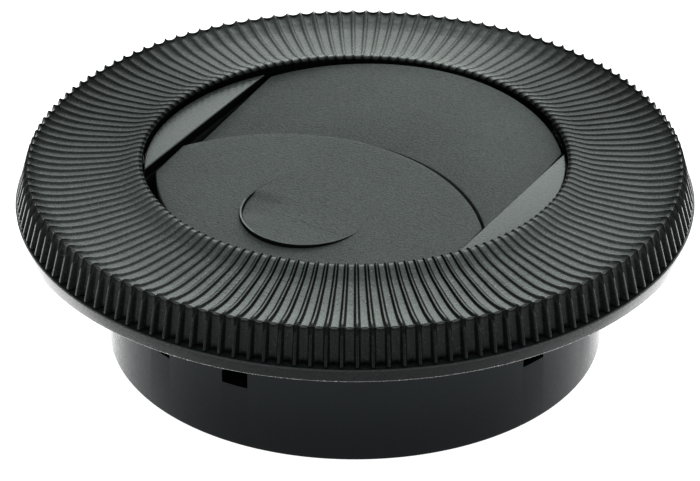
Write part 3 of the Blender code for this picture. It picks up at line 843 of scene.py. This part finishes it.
# ---- nodes kept from the CAD --------------------------------------------------
KEPT = (
    (CARRIER_MAT, "carrier_plastic", ("leaf_carrier",)),
    (CRANK_MAT, "crank_plastic", ("front_crank", "rear_crank", "link_bar")),
    (STEEL_MAT, "steel", ("front_rod", "rear_rod", "front_rod_clip", "rear_rod_clip",
                          "front_link_clip", "rear_link_clip")))
for kept_mat, kept_slot, node_names in KEPT:
    for node_name in node_names:
        paint(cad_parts[node_name], kept_mat)

# ---- stage --------------------------------------------------------------------
FLOOR_HALF, FLOOR_Z = 6000, -0.4
UNLIT_R = 0.0388                                # metres: the floor is painted dark as shade within this
HOLE_DISC_R, HOLE_DISC_Z = 38.6, -0.05
# the floor's white, and its painted shade inside the tube's footprint
PALE, FLOOR_SHADE = (0.86, 0.86, 0.86, 1), (0.02, 0.02, 0.02, 1)

scene.view_settings.view_transform = "Standard"
scene.view_settings.look = "None"


def matt_material(name, colour):
    mat, tree, shader = new_material(name)
    tree.feed(shader, {"Base Color": colour, "Roughness": 0.9})
    return mat, tree, shader


def build_floor():
    """Glowing white all round, and unlit and painted dark as shade only inside the tube's own
    footprint.
    """
    corners = [(x * FLOOR_HALF, y * FLOOR_HALF, FLOOR_Z)
               for x, y in ((-1, -1), (1, -1), (1, 1), (-1, 1))]
    floor = mesh_object("floor", corners, [(0, 1, 2, 3)])
    mat, tree, shader = matt_material("pale_floor", PALE)
    position = tree.add("NewGeometry").outputs["Position"]
    distance = tree.vector_math("LENGTH", position).outputs["Value"]
    outside = tree.math("GREATER_THAN", distance, UNLIT_R)
    tree.feed(shader, {"Emission Color": (1, 1, 1, 1), "Emission Strength": outside,
                       "Base Color": tree.mix(outside, FLOOR_SHADE, PALE)})
    floor.data.materials.append(mat)
    floor.visible_diffuse = False
    floor.visible_glossy = False


def build_shade_disc():
    """A dark disc under the tube, a painted shade, so that the bright floor doesn't shine up through
    the gaps.
    """
    disc = bmesh.new()
    bmesh.ops.create_circle(disc, cap_ends=True, segments=96, radius=HOLE_DISC_R)
    hole = bm_object("painted_shade_disc", disc, smooth=False)
    hole.location.z = HOLE_DISC_Z * MM
    mat, tree, shader = matt_material("painted_shade_disc", (0.01, 0.01, 0.01, 1))
    tree.feed(shader, {"Specular IOR Level": 0.0})
    hole.data.materials.append(mat)


build_floor()
build_shade_disc()

# ---- surroundings -------------------------------------------------------------
AZIMUTH, ELEVATION = 29.65, 28.80               # degrees: where the camera stands
PANEL_TO_RIGHT = 11                             # degrees, as the camera sees it
# light from below the horizon: (-1 at the camera to 1 straight behind the object, level)
TABLE_LIGHT = [(-1.0, 0.37), (-0.85, 0.42), (-0.62, 0.58), (-0.34, 1.05), (0.0, 2.05),
               (0.30, 4.2), (1.0, 4.8)]
# the panel's light round the horizon: (1 towards the panel, share)
PANEL_WIDTH = [(-1.0, 0.14), (-0.3, 0.18), (0.2, 0.24), (0.6, 0.32), (0.85, 0.50),
               (0.96, 0.90), (1.0, 1.0)]
# the panel's and the ceiling's light by height: (sine of the elevation, level)
PANEL_RISE = [(-1.0, 4.4), (0.0, 4.4), (0.07, 3.2), (0.15, 1.45), (0.27, 1.3), (0.40, 2.75),
              (0.51, 2.75), (0.60, 1.6), (0.71, 0.7), (1.0, 0.5)]
CEILING_LIGHT = [(-1.0, 0.0), (0.30, 0.0), (0.70, 0.45), (1.0, 0.60)]
SKY_TINT = (0.915, 1.0, 0.960, 1)


def build_world():
    """A bright table below the horizon; above it a soft panel behind and a dim ceiling.
    The camera itself sees plain white."""
    world = bpy.data.worlds.new("studio")
    scene.world = world
    tree = Tree(world)
    tree.nodes.clear()
    output = tree.add("OutputWorld")
    direction = tree.add("TexCoord").outputs["Generated"]
    azimuth = math.radians(AZIMUTH)
    away = Vector((-math.sin(azimuth), math.cos(azimuth), 0.0))
    to_right = math.radians(PANEL_TO_RIGHT)
    panel = away * math.cos(to_right) + Vector((away.y, -away.x, 0.0)) * math.sin(to_right)

    rise = tree.add("SeparateXYZ", {0: direction}).outputs["Z"]
    flat_squared = tree.one_minus(tree.math("MULTIPLY", rise, rise))
    flat = tree.math("SQRT", tree.math("MAXIMUM", flat_squared, 1e-4))

    def facing(target):
        """1 towards the level target, -1 away from it, whatever the height."""
        dot = tree.vector_math("DOT_PRODUCT", direction, target)
        return tree.math("DIVIDE", dot.outputs["Value"], flat)

    table = tree.level_curve(facing(away), TABLE_LIGHT)
    below = tree.map_range(rise, from_range=(-0.11, 0.05), to_range=(1.0, 0.0))
    panel_width = tree.level_curve(facing(panel), PANEL_WIDTH)
    panel_rise = tree.level_curve(rise, PANEL_RISE)
    ceiling = tree.level_curve(rise, CEILING_LIGHT)
    sky = tree.math("MAXIMUM", tree.math("MULTIPLY", panel_width, panel_rise), ceiling)
    level = tree.math("ADD", tree.math("MULTIPLY", table, below),
                      tree.math("MULTIPLY", sky, tree.one_minus(below)))
    is_camera = tree.add("LightPath").outputs["Is Camera Ray"]
    unseen = tree.math("MULTIPLY", level, tree.one_minus(is_camera))
    strength = tree.math("ADD", unseen, is_camera)
    tinted = tree.math("MULTIPLY", tree.one_minus(below), tree.one_minus(is_camera))
    colour = tree.mix(tinted, (1, 1, 1, 1), SKY_TINT)
    background = tree.add("Background", {"Strength": strength, "Color": colour})
    tree.feed(output, {"Surface": background.outputs[0]})


def build_softbox():
    """A weak area light high up behind, aimed at the ring; metres and watts."""
    light = bpy.data.lights.new("softbox", "AREA")
    light.shape = "RECTANGLE"
    light.size = 0.9
    light.size_y = 0.6
    light.energy = 0.8
    softbox = bpy.data.objects.new("softbox", light)
    softbox.location = (0.35, 0.75, 0.95)
    aim = Vector((0, 0, 0.03)) - softbox.location
    softbox.rotation_euler = aim.to_track_quat("-Z", "Y").to_euler()
    scene.collection.objects.link(softbox)


build_world()
build_softbox()

# ---- camera -------------------------------------------------------------------
DISTANCE = 589.3                                # from the centre of the ring's top
ROLL, YAW, PITCH = -0.101, -0.078, -1.313       # degrees off a level view of that point
LENS, SENSOR_WIDTH = 191.46, 36.0


def build_camera():
    """Set up in front of the object, then swung round Z by the azimuth."""
    elevation = math.radians(ELEVATION)
    eye = Vector((0, -math.cos(elevation), math.sin(elevation))) * DISTANCE
    forward = -eye.normalized()
    side = Vector((1, 0, 0))
    up = side.cross(forward)
    forward = (forward + side * math.tan(math.radians(YAW))
               + up * math.tan(math.radians(PITCH))).normalized()
    side = forward.cross(Vector((0, 0, 1))).normalized()
    up = side.cross(forward)
    roll = math.radians(ROLL)
    right = side * math.cos(roll) + up * math.sin(roll)
    upward = -side * math.sin(roll) + up * math.cos(roll)
    basis = Matrix((right, upward, -forward)).transposed()
    spin = Matrix.Rotation(math.radians(AZIMUTH), 3, "Z")
    lens = bpy.data.cameras.new("camera")
    lens.lens = LENS
    lens.sensor_width = SENSOR_WIDTH
    lens.clip_start = 0.01
    lens.clip_end = 20.0
    camera = bpy.data.objects.new("camera", lens)
    camera.matrix_world = (Matrix.Translation((spin @ eye + Vector((0, 0, RING_TOP))) * MM)
                           @ (spin @ basis).to_4x4())
    scene.collection.objects.link(camera)
    scene.camera = camera


build_camera()
